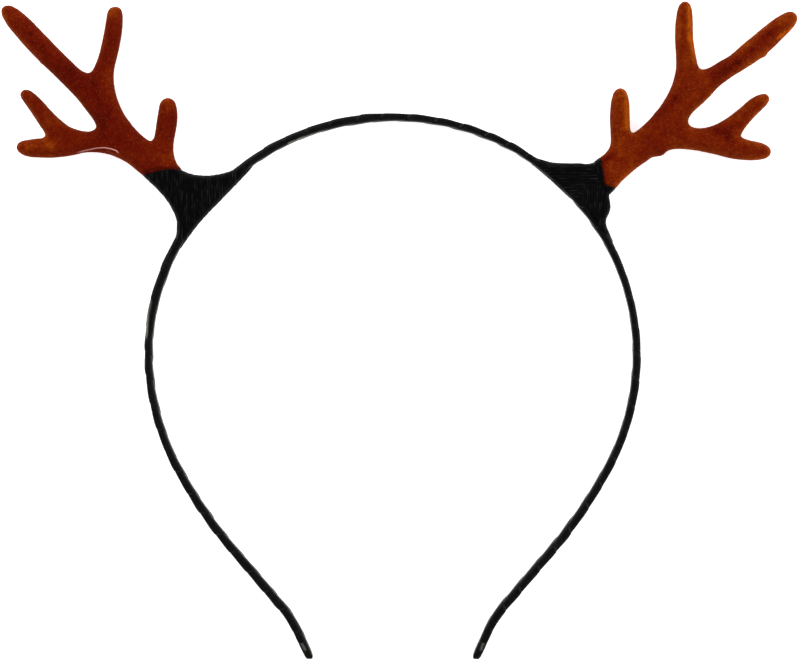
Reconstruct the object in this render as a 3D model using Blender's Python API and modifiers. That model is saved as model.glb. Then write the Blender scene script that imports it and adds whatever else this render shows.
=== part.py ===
"""Reindeer antler headband: a ribbon-wound band, two flocked antlers and the wraps that hold them.

The headband lies on its side, as it rests by itself. The plane of the band is XY, the crown of the
band points to +Y and the width of its strip is along Z. Lengths are in metres, angles in degrees.
"""
import math

import bmesh
import bpy
from mathutils import Vector

# Centreline of the band, from the crown down one side. The other side is its mirror image.
CROWN_RADIUS = 0.0726
CROWN_SWEEP = 23.8
SHOULDER_RADIUS = 0.0674
SHOULDER_SWEEP = 94.7
CHEEK_RADIUS = 0.140
CHEEK_SWEEP = 11.9
CHEEK_RUN = 0.0206
FLARE_RADIUS = 0.0286
FLARE_SWEEP = 16.1
TIP_RUN = 0.0083

# Ribbon winding of the band. Each turn laps over the last one by a step.
BAND_THICKNESS = 0.0018
BAND_WIDTH = 0.0054
BAND_CHAMFER = 0.0005
WINDING_PITCH = 0.0074
WINDING_STEP = 0.0003

# Folded ribbon over each tip, and the bare tongue of the band inside it
FOLD_LENGTH = 0.0050
FOLD_THICKNESS = 0.0023
FOLD_WIDTH = 0.0059
FOLD_END_THICKNESS = 0.0014
FOLD_END_WIDTH = 0.0044
TONGUE_LENGTH = 0.0032
TONGUE_THICKNESS = 0.0009
TONGUE_WIDTH = 0.0042

# Clearance between pieces that touch, and the wall of every ribbon wrap
FIT_GAP = 0.0003
WRAP_WALL = 0.0005
WRAP_EDGE = 0.0009

# Antlers. The tables below hold shares of the reach, of the beam's width and of the depth.
ANTLER_REACH = 0.0570
BEAM_WIDTH = 0.0086
ANTLER_DEPTH = 0.0066

# A cage with four sides shrinks by this much when it is subdivided
CAGE_SHRINK = 0.917
CAGE_LEVELS = 2

FLOCK_COLOUR = (0.205, 0.022, 0.002, 1.0)
RIBBON_COLOUR = (0.010, 0.010, 0.012, 1.0)

# Each antler's root sits at a place along the band and a height over it, turned by a lean.
# The wrap below it is drawn in the band's own coordinates: along it, from the wrap's start, as a
# share of the span, and off its centreline as a share of the height.
LEFT = {
    "side": -1,
    "root_along": 0.0618,
    "root_height": 0.0146,
    "root_lean": 50.7,
    "wrap_start": 0.0428,
    "wrap_span": 0.0322,
    "wrap_height": 0.0182,
    "collar_length": 0.0,
    # share of the span, share of the height
    "crown_edge": (
        (0.00, 0.00),
        (0.20, 0.00),
        (0.29, 0.13),
        (0.36, 0.24),
        (0.44, 0.42),
        (0.47, 0.53),
    ),
    "cheek_edge": (
        (0.70, 0.80),
        (0.725, 0.57),
        (0.755, 0.41),
        (0.795, 0.26),
        (0.84, 0.14),
        (1.00, 0.00),
    ),
    "inner_edge": (
        (1.00, 0.00),
        (0.78, 0.12),
        (0.56, 0.155),
        (0.30, 0.16),
        (0.12, 0.13),
        (0.00, 0.00),
    ),
    # out, up: centre in percent of the reach; turn: heading in degrees from straight out;
    # wide: percent of the beam's width; deep: percent of the antler's depth
    "limbs": {
        "trunk": (
            (-11.2, -11.0, 59, 85, 76),
            (-6.5, -5.2, 75, 100, 76),
            (-0.2, -0.1, 82, 108, 76),
            (5.8, 7.2, 72, 154, 96),
            (15.8, 11.6, 75, 131, 100),
            (33.5, 15.9, 14, 67, 92),
            (46.2, 15.6, 0, 92, 84),
            (57.5, 12.2, -3, 63, 76),
            (65.0, 12.4, 3, 65, 72),
            (74.0, 12.9, 8, 49, 60),
        ),
        "brow": (
            (-1.2, 20.5, 93, 60, 82),
            (-2.8, 30.2, 90, 67, 76),
            (-2.6, 38.9, 92, 52, 60),
        ),
        "beam": (
            (26.4, 26.2, 97, 112, 98),
            (32.6, 37.2, 80, 117, 94),
            (44.1, 46.4, 69, 70, 84),
            (53.8, 55.9, 50, 70, 80),
            (63.2, 65.5, 43, 73, 80),
            (72.4, 75.4, 43, 71, 76),
            (80.0, 83.2, 45, 52, 60),
        ),
        "crown": (
            (29.1, 51.8, 108, 65, 82),
            (26.2, 62.2, 90, 60, 78),
            (24.5, 72.8, 90, 60, 74),
            (23.8, 84.5, 90, 53, 60),
        ),
        "mid": (
            (57.1, 25.2, 57, 61, 78),
            (63.4, 34.1, 57, 58, 72),
            (69.1, 41.6, 64, 50, 60),
        ),
    },
}
RIGHT = {
    "side": 1,
    "root_along": 0.0596,
    "root_height": 0.0114,
    "root_lean": 48.8,
    "wrap_start": 0.0412,
    "wrap_span": 0.0348,
    "wrap_height": 0.0099,
    "collar_length": 0.0028,
    "crown_edge": (
        (0.00, 0.00),
        (0.09, 0.00),
        (0.16, 0.25),
        (0.235, 0.42),
        (0.345, 0.79),
        (0.395, 0.92),
    ),
    "cheek_edge": (
        (0.665, 0.78),
        (0.73, 0.62),
        (0.77, 0.41),
        (0.81, 0.24),
        (1.00, 0.00),
    ),
    "inner_edge": (
        (1.00, 0.00),
        (0.75, 0.00),
        (0.50, 0.00),
        (0.25, 0.00),
        (0.00, 0.00),
    ),
    "limbs": {
        "trunk": (
            (-11.9, -7.4, 27, 80, 76),
            (-3.5, -2.9, 27, 84, 76),
            (-0.1, -0.1, 27, 95, 76),
            (3.9, 4.0, 24, 113, 92),
            (14.9, 12.8, 24, 91, 100),
            (39.1, 18.2, -13, 61, 92),
            (52.4, 16.8, -2, 87, 84),
            (66.1, 11.4, 6, 69, 76),
            (74.7, 11.1, -1, 65, 72),
            (83.7, 10.6, -7, 42, 60),
        ),
        "brow": (
            (6.0, 24.2, 93, 65, 82),
            (6.2, 33.8, 87, 65, 76),
            (6.1, 44.2, 86, 50, 60),
        ),
        "beam": (
            (32.5, 29.1, 89, 112, 98),
            (41.2, 40.9, 67, 122, 94),
            (51.1, 47.1, 55, 73, 84),
            (63.7, 54.8, 44, 60, 80),
            (75.6, 63.6, 39, 75, 80),
            (85.2, 72.2, 38, 72, 76),
            (94.2, 80.6, 40, 50, 60),
        ),
        "crown": (
            (39.2, 55.5, 90, 65, 82),
            (38.1, 66.0, 84, 60, 78),
            (38.1, 77.0, 90, 57, 74),
            (38.9, 88.1, 88, 47, 60),
        ),
        "mid": (
            (64.7, 25.6, 65, 68, 78),
            (71.6, 32.4, 58, 59, 72),
            (80.5, 40.1, 48, 47, 60),
        ),
    },
}

# Where each tine grows: the limb that carries it, and the section of that limb it starts at
BRANCHES = {
    "brow": ("trunk", 3),
    "beam": ("trunk", 4),
    "mid": ("trunk", 6),
    "crown": ("beam", 1),
}
# Sections of the trunk that lie in the wrap or close to it, and the one where the flock starts
ROOT_SECTIONS = 5
MOUTH_SECTION = 2

ARCS = (
    (CROWN_RADIUS, math.radians(CROWN_SWEEP), 1),
    (SHOULDER_RADIUS, math.radians(SHOULDER_SWEEP), 1),
    (CHEEK_RADIUS, math.radians(CHEEK_SWEEP), 1),
    (None, CHEEK_RUN, 0),
    (FLARE_RADIUS, math.radians(FLARE_SWEEP), -1),
    (None, TIP_RUN, 0),
)
HALF_LENGTH = sum(size if radius is None else radius * size for radius, size, _ in ARCS)


def band_frame(along):
    """Point on the band's centreline, its outward normal and its heading, at a place along it."""
    side = -1.0 if along < 0.0 else 1.0
    left = abs(along)
    point = Vector((0.0, 0.0))
    heading = 0.0
    for radius, size, turn in ARCS:
        length = size if radius is None else radius * size
        step = min(left, length)
        if radius is None:
            point += step * Vector((math.cos(heading), -math.sin(heading)))
        else:
            end = heading + turn * step / radius
            point += turn * radius * Vector((math.sin(end) - math.sin(heading),
                                             math.cos(end) - math.cos(heading)))
            heading = end
        left -= step
    point += left * Vector((math.cos(heading), -math.sin(heading)))
    normal = Vector((side * math.sin(heading), math.cos(heading)))
    return Vector((side * point.x, point.y)), normal, heading


def beside_band(along, out, up=0.0):
    """Point at a distance out from the band's centreline, in the plane of the band or above it."""
    point, normal, _ = band_frame(along)
    flat = point + out * normal
    return Vector((flat.x, flat.y, up))


def strip_section(thickness, width, chamfer):
    """Eight corners of a strip with chamfered edges, as distances outward and upward."""
    t = thickness / 2
    w = width / 2
    quarter = ((t, w - chamfer), (t - chamfer, w))
    right = quarter + tuple((-a, b) for a, b in reversed(quarter))
    return right + tuple((a, -b) for a, b in reversed(right))


def ring(bm, along, section):
    """Row of vertices round the band at one place along it."""
    return [bm.verts.new(beside_band(along, out, up)) for out, up in section]


def bridge(bm, first, second):
    """Faces between two closed rows of vertices."""
    count = len(first)
    for i in range(count):
        j = (i + 1) % count
        bm.faces.new((first[i], first[j], second[j], second[i]))


def finish_mesh(bm, name, colour, roughness):
    """Object of a closed mesh, with its faces outward and its own material."""
    bmesh.ops.recalc_face_normals(bm, faces=bm.faces)
    mesh = bpy.data.meshes.new(name)
    bm.to_mesh(mesh)
    bm.free()
    obj = bpy.data.objects.new(name, mesh)
    PIECES.objects.link(obj)
    paint(obj, colour, roughness)
    return obj


def paint(obj, colour, roughness):
    """One material for an object."""
    material = bpy.data.materials.new(obj.name + "_finish")
    material.use_nodes = True
    shader = material.node_tree.nodes["Principled BSDF"]
    shader.inputs["Base Color"].default_value = colour
    shader.inputs["Roughness"].default_value = roughness
    shader.inputs["Metallic"].default_value = 0.0
    obj.data.materials.append(material)


def as_cutter(obj):
    """Keep an object out of the model and use it only to cut."""
    for collection in list(obj.users_collection):
        collection.objects.unlink(obj)
    CUTTERS.objects.link(obj)
    obj.hide_render = True
    obj.display_type = "WIRE"
    return obj


def cut(obj, cutter):
    """Take one solid out of another."""
    modifier = obj.modifiers.new("cut_" + cutter.name, "BOOLEAN")
    modifier.operation = "DIFFERENCE"
    modifier.solver = "EXACT"
    modifier.object = cutter


def under_wrap(along):
    """Whether the winding at this place is pressed flat under one of the wraps."""
    for half in (LEFT, RIGHT):
        near = half["wrap_start"]
        far = near + half["wrap_span"]
        low, high = (near, far) if half["side"] > 0 else (-far, -near)
        if low - WINDING_PITCH <= along <= high:
            return True
    return False


def make_band():
    """Strip with its ribbon wound round it as one helix, and a bare tongue at each tip."""
    low = strip_section(BAND_THICKNESS, BAND_WIDTH, BAND_CHAMFER)
    high = strip_section(BAND_THICKNESS + 2 * WINDING_STEP, BAND_WIDTH + 2 * WINDING_STEP, BAND_CHAMFER)
    tongue = strip_section(TONGUE_THICKNESS, TONGUE_WIDTH, TONGUE_THICKNESS / 4)
    columns = len(low)
    sides = [math.dist(low[i], low[(i + 1) % columns]) for i in range(columns)]
    shares = [sum(sides[:i]) / sum(sides) for i in range(columns)]

    # The ribbon's faces fall from a lapped edge to the next one, then step up to it.
    lead = 0.1 * WINDING_PITCH
    fall = 0.88
    end = HALF_LENGTH - FOLD_LENGTH
    turns = round(2 * (end - lead) / WINDING_PITCH)
    pitch = 2 * (end - lead) / turns

    bm = bmesh.new()
    crests = []
    hollows = []
    for n in range(turns * columns + 1):
        column = n % columns
        along = -end + lead + pitch * (n // columns + shares[column])
        out, up = low[column] if under_wrap(along) else high[column]
        crests.append(bm.verts.new(beside_band(along, out, up)))
        if n <= (turns - 1) * columns:
            out, up = low[column]
            hollows.append(bm.verts.new(beside_band(along + fall * pitch, out, up)))
    for n in range(len(hollows) - 1):
        bm.faces.new((crests[n], crests[n + 1], hollows[n + 1], hollows[n]))
        bm.faces.new((hollows[n], hollows[n + 1], crests[n + columns + 1], crests[n + columns]))

    start = ring(bm, -end, low)
    finish = ring(bm, end, low)
    last = len(crests) - 1 - columns
    for j in range(columns - 1):
        bm.faces.new((start[j], start[j + 1], crests[j + 1], crests[j]))
    bm.faces.new((start[-1], start[0], crests[0], hollows[0], crests[columns], crests[columns - 1]))
    for j in range(1, columns):
        following = finish[(j + 1) % columns]
        bm.faces.new((crests[last + j], crests[last + j + 1], following, finish[j]))
    bm.faces.new((crests[last], crests[last + 1], finish[1], finish[0], crests[-1], hollows[-1]))

    for row, sign in ((start, -1), (finish, 1)):
        foot = ring(bm, sign * end, tongue)
        tip = ring(bm, sign * (end + TONGUE_LENGTH), tongue)
        bridge(bm, row, foot)
        bridge(bm, foot, tip)
        bm.faces.new(tip)
    return finish_mesh(bm, "band", RIBBON_COLOUR, 0.45)


def make_tip_fold(name, side):
    """Ribbon folded over the end of the band: a cup that the tongue goes into."""
    mouth = HALF_LENGTH - FOLD_LENGTH + FIT_GAP
    depth = HALF_LENGTH - FOLD_LENGTH + TONGUE_LENGTH + FIT_GAP
    shoulder = HALF_LENGTH - FOLD_END_THICKNESS / 2
    pocket = strip_section(TONGUE_THICKNESS + 2 * FIT_GAP, TONGUE_WIDTH + 2 * FIT_GAP, TONGUE_THICKNESS / 4)
    full = strip_section(FOLD_THICKNESS, FOLD_WIDTH, BAND_CHAMFER)
    near_end = strip_section(
        (FOLD_THICKNESS + FOLD_END_THICKNESS) / 2, (FOLD_WIDTH + FOLD_END_WIDTH) / 2, BAND_CHAMFER)
    end = strip_section(FOLD_END_THICKNESS, FOLD_END_WIDTH, FOLD_END_THICKNESS / 3)
    bm = bmesh.new()
    rows = [
        ring(bm, side * depth, pocket),
        ring(bm, side * mouth, pocket),
        ring(bm, side * mouth, full),
        ring(bm, side * (mouth + depth) / 2, full),
        ring(bm, side * shoulder, near_end),
        ring(bm, side * HALF_LENGTH, end),
    ]
    for first, second in zip(rows, rows[1:]):
        bridge(bm, first, second)
    bm.faces.new(rows[0])
    bm.faces.new(rows[-1])
    return finish_mesh(bm, name, RIBBON_COLOUR, 0.35)


def root_frame(half):
    """Foot of an antler and its outward and upward directions, carried by the band."""
    side = half["side"]
    foot = beside_band(side * half["root_along"], half["root_height"])
    _, _, heading = band_frame(half["root_along"])
    tilt = heading - math.radians(half["root_lean"])
    out = Vector((side * math.cos(tilt), -math.sin(tilt), 0.0))
    up = Vector((side * math.sin(tilt), math.cos(tilt), 0.0))
    return foot, out, up


def section_frame(half, section):
    """Centre of one section of a limb, the way ahead along the limb and the way to its over side."""
    foot, out, up = root_frame(half)
    across, rise, turn = section[:3]
    centre = foot + ANTLER_REACH * (across * out + rise * up) / 100
    angle = math.radians(turn)
    ahead = math.cos(angle) * out + math.sin(angle) * up
    over = math.cos(angle) * up - math.sin(angle) * out
    return centre, ahead, over


def cage_ring(bm, half, section, grow, push=0.0):
    """Four corners of one section of a limb: under edge low and high, then over edge high and low."""
    centre, ahead, over = section_frame(half, section)
    wide, deep = section[3:]
    centre += push * ahead
    half_width = (BEAM_WIDTH * wide / 200 + grow) / CAGE_SHRINK
    half_depth = (ANTLER_DEPTH * deep / 200 + grow) / CAGE_SHRINK
    lift = Vector((0.0, 0.0, half_depth))
    corners = (-half_width * over - lift, -half_width * over + lift,
               half_width * over + lift, half_width * over - lift)
    return [bm.verts.new(centre + corner) for corner in corners]


def subdivide(obj):
    """Round a cage."""
    modifier = obj.modifiers.new("rounding", "SUBSURF")
    modifier.levels = CAGE_LEVELS
    modifier.render_levels = CAGE_LEVELS
    for face in obj.data.polygons:
        face.use_smooth = True


def make_antler(name, half):
    """Branching antler: box limbs that grow out of each other's over side, then rounded."""
    bm = bmesh.new()
    rings = {}
    for limb, sections in half["limbs"].items():
        rings[limb] = [cage_ring(bm, half, section, 0.0) for section in sections]
    open_sides = {(parent, start) for parent, start in BRANCHES.values()}
    for limb, rows in rings.items():
        for i in range(len(rows) - 1):
            a, b = rows[i], rows[i + 1]
            for j in range(4):
                if j == 2 and (limb, i) in open_sides:
                    continue
                k = (j + 1) % 4
                bm.faces.new((a[j], a[k], b[k], b[j]))
        bm.faces.new(rows[-1])
        if limb in BRANCHES:
            parent, start = BRANCHES[limb]
            near, far = rings[parent][start], rings[parent][start + 1]
            bridge(bm, [far[3], far[2], near[2], near[3]], rows[0])
        else:
            bm.faces.new(rows[0])
    antler = finish_mesh(bm, name, FLOCK_COLOUR, 0.9)
    subdivide(antler)
    return antler


def make_socket(name, half):
    """Cutter for the hole that an antler's root goes into: the root, grown by the clearance."""
    bm = bmesh.new()
    sections = half["limbs"]["trunk"][:ROOT_SECTIONS]
    rows = [cage_ring(bm, half, sections[0], FIT_GAP, push=-3 * FIT_GAP)]
    rows += [cage_ring(bm, half, section, FIT_GAP) for section in sections[1:]]
    for first, second in zip(rows, rows[1:]):
        bridge(bm, first, second)
    bm.faces.new(rows[0])
    bm.faces.new(rows[-1])
    socket = as_cutter(finish_mesh(bm, name, RIBBON_COLOUR, 0.5))
    subdivide(socket)
    return socket


def slot_half():
    """Half the height of the slot that the band runs through."""
    return BAND_THICKNESS / 2 + FIT_GAP


def wrap_half_depth():
    """Half the depth of a wrap, across the band's width."""
    return BAND_WIDTH / 2 + FIT_GAP + WRAP_WALL


def make_slot(name, half):
    """Cutter for the band where it runs through a wrap."""
    bm = bmesh.new()
    section = strip_section(2 * slot_half(), BAND_WIDTH + 2 * FIT_GAP, BAND_CHAMFER)
    margin = half["wrap_span"] / 10
    length = half["wrap_span"] + 2 * margin
    steps = 12
    rows = []
    for i in range(steps + 1):
        along = half["wrap_start"] - margin + length * i / steps
        rows.append(ring(bm, half["side"] * along, section))
    for first, second in zip(rows, rows[1:]):
        bridge(bm, first, second)
    bm.faces.new(rows[0])
    bm.faces.new(rows[-1])
    return as_cutter(finish_mesh(bm, name, RIBBON_COLOUR, 0.5))


def flat_plate(name, outline, half_depth):
    """Plate of an outline in the plane of the band, with its edges rounded over."""
    curve = bpy.data.curves.new(name + "_outline", "CURVE")
    curve.dimensions = "2D"
    curve.fill_mode = "BOTH"
    curve.extrude = half_depth
    curve.render_resolution_u = 0
    spline = curve.splines.new("POLY")
    spline.points.add(len(outline) - 1)
    for point, place in zip(spline.points, outline):
        point.co = (place.x, place.y, 0.0, 1.0)
    spline.use_cyclic_u = True
    drawn = bpy.data.objects.new(name + "_outline", curve)
    PIECES.objects.link(drawn)
    bpy.context.view_layer.update()
    solid = bpy.data.meshes.new_from_object(drawn.evaluated_get(bpy.context.evaluated_depsgraph_get()))
    bpy.data.objects.remove(drawn)
    bm = bmesh.new()
    bm.from_mesh(solid)
    bpy.data.meshes.remove(solid)
    bmesh.ops.remove_doubles(bm, verts=bm.verts, dist=0.00001)
    plate = finish_mesh(bm, name, RIBBON_COLOUR, 0.6)
    rounding = plate.modifiers.new("rounding", "BEVEL")
    rounding.width = WRAP_EDGE
    rounding.segments = 2
    rounding.limit_method = "ANGLE"
    rounding.angle_limit = math.radians(60)
    return plate


def mouth_corners(half, back):
    """Corners of the ribbon round an antler's root, at a distance back from where the flock starts."""
    centre, ahead, over = section_frame(half, half["limbs"]["trunk"][MOUTH_SECTION])
    reach = BEAM_WIDTH * half["limbs"]["trunk"][MOUTH_SECTION][3] / 200 + FIT_GAP + WRAP_WALL
    return [centre - back * ahead + reach * over, centre - back * ahead - reach * over]


def wrap_edge(half, edge, sign):
    """Points of one edge of a wrap, never less than a wall outside the slot for the band."""
    points = []
    for along_share, off_share in half[edge]:
        along = half["wrap_start"] + along_share * half["wrap_span"]
        off = max(slot_half() + WRAP_WALL, off_share * half["wrap_height"])
        points.append(beside_band(half["side"] * along, sign * off))
    return points


def make_gusset(name, half):
    """Ribbon wrap: a web from the band to the antler's root, with a slot and a socket through it."""
    outline = wrap_edge(half, "crown_edge", 1) + mouth_corners(half, half["collar_length"])
    outline += wrap_edge(half, "cheek_edge", 1) + wrap_edge(half, "inner_edge", -1)
    gusset = flat_plate(name, outline, wrap_half_depth())
    cut(gusset, make_slot(name + "_slot", half))
    return gusset


def make_collar(name, half, socket):
    """Tape wound round an antler's root, between its wrap and the flocked part."""
    front = mouth_corners(half, 0.0)
    back = mouth_corners(half, half["collar_length"] - FIT_GAP)
    collar = flat_plate(name, [front[0], front[1], back[1], back[0]], wrap_half_depth())
    cut(collar, socket)
    return collar


def clear_scene():
    """Start from an empty scene."""
    for obj in list(bpy.data.objects):
        bpy.data.objects.remove(obj)


def stand_on_origin(pieces):
    """Put the middle of the headband's underside on the origin."""
    frame = bpy.data.objects.new("headband", None)
    PIECES.objects.link(frame)
    bpy.context.view_layer.update()
    depsgraph = bpy.context.evaluated_depsgraph_get()
    corners = []
    for piece in pieces:
        corners += [Vector(corner) for corner in piece.evaluated_get(depsgraph).bound_box]
    low = [min(corner[axis] for corner in corners) for axis in range(3)]
    high = [max(corner[axis] for corner in corners) for axis in range(3)]
    for obj in list(PIECES.objects) + list(CUTTERS.objects):
        if obj is not frame:
            obj.parent = frame
    frame.location = (-(low[0] + high[0]) / 2, -(low[1] + high[1]) / 2, -low[2])


clear_scene()
PIECES = bpy.data.collections.new("reindeer_antler_headband")
CUTTERS = bpy.data.collections.new("cutters")
for group in (PIECES, CUTTERS):
    bpy.context.scene.collection.children.link(group)

left_socket = make_socket("left_socket", LEFT)
right_socket = make_socket("right_socket", RIGHT)
gusset_left = make_gusset("gusset_left", LEFT)
gusset_right = make_gusset("gusset_right", RIGHT)
cut(gusset_left, left_socket)
cut(gusset_right, right_socket)
stand_on_origin([
    make_band(),
    make_tip_fold("tip_fold_left", -1),
    make_tip_fold("tip_fold_right", 1),
    make_antler("antler_left", LEFT),
    make_antler("antler_right", RIGHT),
    gusset_left,
    gusset_right,
    make_collar("collar_right", RIGHT, right_socket),
])
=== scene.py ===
"""Looks of the reindeer antler headband: wound ribbon, ribbed wraps and flocked antlers.

Everything is in metres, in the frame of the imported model: the headband lies on its side on the
floor, with its crown towards +Y. Places seen in the photograph are given in its pixels.
"""
import math
import random

import bmesh
import bpy
import numpy as np
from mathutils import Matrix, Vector, noise
from mathutils.geometry import delaunay_2d_cdt


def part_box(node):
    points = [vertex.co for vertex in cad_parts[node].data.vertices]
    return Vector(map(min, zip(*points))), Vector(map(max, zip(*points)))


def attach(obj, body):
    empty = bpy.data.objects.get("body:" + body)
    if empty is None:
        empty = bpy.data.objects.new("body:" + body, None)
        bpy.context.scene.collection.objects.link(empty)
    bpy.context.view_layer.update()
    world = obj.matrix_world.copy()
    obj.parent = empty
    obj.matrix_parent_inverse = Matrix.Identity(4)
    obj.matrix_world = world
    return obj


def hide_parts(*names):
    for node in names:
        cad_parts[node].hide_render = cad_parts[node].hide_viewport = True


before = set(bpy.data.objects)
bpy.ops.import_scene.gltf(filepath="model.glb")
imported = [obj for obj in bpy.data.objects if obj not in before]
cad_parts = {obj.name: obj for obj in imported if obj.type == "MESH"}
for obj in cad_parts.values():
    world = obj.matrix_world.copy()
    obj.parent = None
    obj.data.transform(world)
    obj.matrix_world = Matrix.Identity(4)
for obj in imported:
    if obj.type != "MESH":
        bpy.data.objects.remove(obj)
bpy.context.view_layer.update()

# Photograph: its width, the size of a pixel on the object, the pixel over the model's origin and
# the pixel under the camera
PHOTO_WIDTH = 800
PIXEL = 0.000285
ORIGIN_PX = (398.8, 327.2)
PHOTO_CENTRE_PX = (399.5, 330.0)
# What the enlarged crops, in which the outlines were read, add to a place in the photograph
CROP_OFFSET_PX = (0.5, 0.45)
# Height of the middle of the headband over the floor, and half the depth of its wraps
wrap_low, wrap_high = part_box("gusset_left")
MIDDLE = (wrap_low.z + wrap_high.z) / 2
HALF_DEPTH = (wrap_high.z - wrap_low.z) / 2

# Centreline of the band from the crown down one side: radii, sweeps in degrees and straight runs
CROWN_PX = (392.2, 116.8)
CROWN_RADIUS = 0.0726
CROWN_SWEEP = 23.8
SHOULDER_RADIUS = 0.0674
SHOULDER_SWEEP = 94.7
CHEEK_RADIUS = 0.140
CHEEK_SWEEP = 11.9
CHEEK_RUN = 0.0206
FLARE_RADIUS = 0.0286
FLARE_SWEEP = 16.1
TIP_RUN = 0.0087
# radius, or none where straight, then sweep or length, then which way it turns
ARCS = (
    (CROWN_RADIUS, math.radians(CROWN_SWEEP), 1),
    (SHOULDER_RADIUS, math.radians(SHOULDER_SWEEP), 1),
    (CHEEK_RADIUS, math.radians(CHEEK_SWEEP), 1),
    (None, CHEEK_RUN, 0),
    (FLARE_RADIUS, math.radians(FLARE_SWEEP), -1),
    (None, TIP_RUN, 0),
)
HALF_LENGTH = sum(size if radius is None else radius * size for radius, size, _ in ARCS)

# Wound ribbon: its section, the length of a turn and the step at its edge, and how far these wander
BAND_THICKNESS = 0.00198
BAND_WIDTH = 0.0054
BAND_CORNER = 0.00075
WINDING_PITCH = 0.0074
WINDING_STEP = 0.00024
PITCH_WANDER = 0.16
STEP_WANDER = 0.55
WINDING_COLUMNS = 60
WINDING_SEED = 7
# distance from the crown along the band, share of the thickness, push outward: as it was wound
WOUND = (
    (-0.208, 1.17, -0.00030), (-0.203, 1.16, -0.00022), (-0.197, 1.18, -0.00010),
    (-0.180, 1.18, -0.00008), (-0.160, 1.12, 0), (-0.125, 1.06, -0.00012),
    (-0.112, 1.00, 0), (-0.103, 1.02, 0.00006), (-0.095, 1.20, 0.00014),
    (-0.084, 1.22, -0.00004), (-0.072, 1.24, -0.00016), (-0.058, 1.18, -0.00034),
    (-0.045, 1.16, -0.00026), (-0.030, 1.14, -0.00012), (-0.012, 1.16, 0),
    (0.004, 1.02, 0), (0.020, 0.94, 0), (0.036, 0.94, 0), (0.046, 0.94, -0.00024),
    (0.058, 0.96, -0.00030), (0.068, 1.00, -0.00010), (0.076, 1.05, 0),
    (0.092, 0.98, 0), (0.104, 1.04, 0.00004), (0.125, 1.10, 0), (0.160, 1.16, 0),
    (0.180, 1.20, -0.00008), (0.197, 1.18, -0.00010), (0.203, 1.16, -0.00014),
    (0.208, 1.17, -0.00020),
)
# share of the pitch, share of the step
RIBBON_PROFILE = (
    (0.000, 0.42), (0.025, 0.80), (0.060, 0.97), (0.11, 1.00), (0.20, 0.94), (0.34, 0.78),
    (0.50, 0.57), (0.66, 0.37), (0.80, 0.20), (0.92, 0.06), (0.975, 0.03),
)

# Lengths and areas below which a piece of mesh counts as nothing
SAME_SPOT = 0.000002
NO_LENGTH = 0.000001
NO_AREA = 1e-13
# Edges that are sharper than this, in degrees, aren't smoothed over
BAND_SHARP = 50.0
FOLD_SHARP = 60.0

# Ribbon folded over each tip, and the run over which the band's steps end before it
FOLD_LENGTH = 0.0052
FOLD_EASE = 0.001
FOLD_THICKNESS = 0.00235
FOLD_WIDTH = 0.0061
# How much further the inner corner of the cut end reaches, for each metre of thickness, and how
# far the end leans outward
FOLD_SLANT = 0.40
FOLD_LEAN = 0.00016
# Corner's radius as a share of the thickness
FOLD_CORNER = 0.28
FOLD_COLUMNS = 40
# share of the length, share of the thickness, share of the width
FOLD_PROFILE = (
    (0.00, 0.94, 0.97), (0.02, 1.02, 1.00), (0.15, 1.03, 1.01), (0.35, 1.02, 1.00),
    (0.55, 1.00, 0.99), (0.72, 0.97, 0.97), (0.86, 0.89, 0.94), (0.94, 0.78, 0.90),
    (0.985, 0.60, 0.84), (1.00, 0.34, 0.72),
)
# How far the band's ends stay inside the folds
TUCK = 0.0025
# How far below a ribbon's upper edge its painted highlights are whole, and where they end
EDGE_FADE = (0.0004, 0.0009)

# How far in from their outline the wraps and the antlers round off
WRAP_ROUND = 0.0016
ANTLER_ROUND = 0.0031
# What the shells are drawn too wide, as their smoothing takes it off
SHELL_SWELL = 0.00015
# Half the width of the pale highlight painted along the crease in the left antler's flock, the share
# of it that shows whole, and half the width of the low ridge under it
CREASE_WIDTH = 0.00022
CREASE_CORE = 0.3
CREASE_RIDGE = 0.00020


def at(px, py, z=MIDDLE):
    """Point of the model over a pixel of the photograph."""
    return Vector(((px - ORIGIN_PX[0]) * PIXEL, (ORIGIN_PX[1] - py) * PIXEL, z))


def seen(px, py):
    """Point of the model over a place read in an enlarged crop of the photograph."""
    return at(px - CROP_OFFSET_PX[0], py - CROP_OFFSET_PX[1])


def smooth_step(low, high, value):
    """0 below low, 1 above high, and smooth between them."""
    share = min(1.0, max(0.0, (value - low) / (high - low)))
    return share * share * (3.0 - 2.0 * share)


def band_frame(along):
    """Point on the band's centreline and its outward normal."""
    side = -1.0 if along < 0.0 else 1.0
    left = abs(along)
    point = Vector((0.0, 0.0))
    heading = 0.0
    for radius, size, turn in ARCS:
        length = size if radius is None else radius * size
        step = min(left, length)
        if radius is None:
            point += step * Vector((math.cos(heading), -math.sin(heading)))
        else:
            end = heading + turn * step / radius
            point += turn * radius * Vector((math.sin(end) - math.sin(heading),
                                             math.cos(end) - math.cos(heading)))
            heading = end
        left -= step
    crown = at(*CROWN_PX)
    normal = Vector((side * math.sin(heading), math.cos(heading), 0.0))
    return Vector((crown.x + side * point.x, crown.y + point.y, MIDDLE)), normal


def wound_at(along):
    """Share of the usual thickness of the winding at a place, and its push outward."""
    for (first, thick_a, push_a), (second, thick_b, push_b) in zip(WOUND, WOUND[1:]):
        if along <= second:
            share = smooth_step(first, second, along)
            return thick_a + (thick_b - thick_a) * share, push_a + (push_b - push_a) * share
    return WOUND[-1][1:]


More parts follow.
